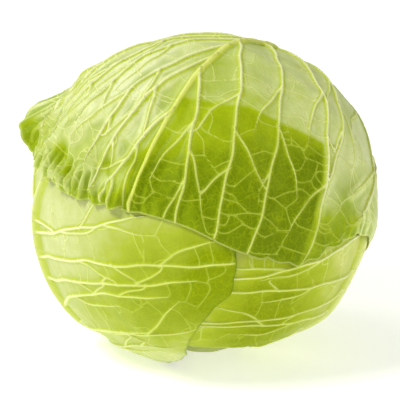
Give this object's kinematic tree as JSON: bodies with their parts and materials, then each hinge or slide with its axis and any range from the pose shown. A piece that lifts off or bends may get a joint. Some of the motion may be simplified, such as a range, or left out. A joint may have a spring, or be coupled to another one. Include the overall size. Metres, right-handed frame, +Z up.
{
  "type": "cabbage head",
  "caption": "Round green cabbage head standing on its cut stem, with veined wrapper leaves lapped over a dense heart and a ruffled corner standing off one side.",
  "frame": {"origin": "middle of the stem's cut face, at the height of what the head rests on", "axes": "+Z up through the crown, -Y toward the front where the crown leaf laps over the two side leaves, +X to the right seen from the front"},
  "size_m": [0.1739, 0.1685, 0.1575],
  "materials": {
    "stem": "cut plant flesh, pale cream green, matte",
    "heart": "packed pale inner leaves, waxy and matte",
    "leaf_right": "waxy pale yellow-green leaf with raised pale veins, soft sheen",
    "leaf_left": "waxy yellow-green leaf with raised pale veins, soft sheen",
    "leaf_crown": "waxy green leaf with raised pale veins, soft sheen"
  },
  "bodies": {
    "root": {"stem": "stem", "heart": "heart", "leaf_right": "leaf_right", "leaf_left": "leaf_left", "leaf_crown": "leaf_crown"}
  },
  "joints": []
}
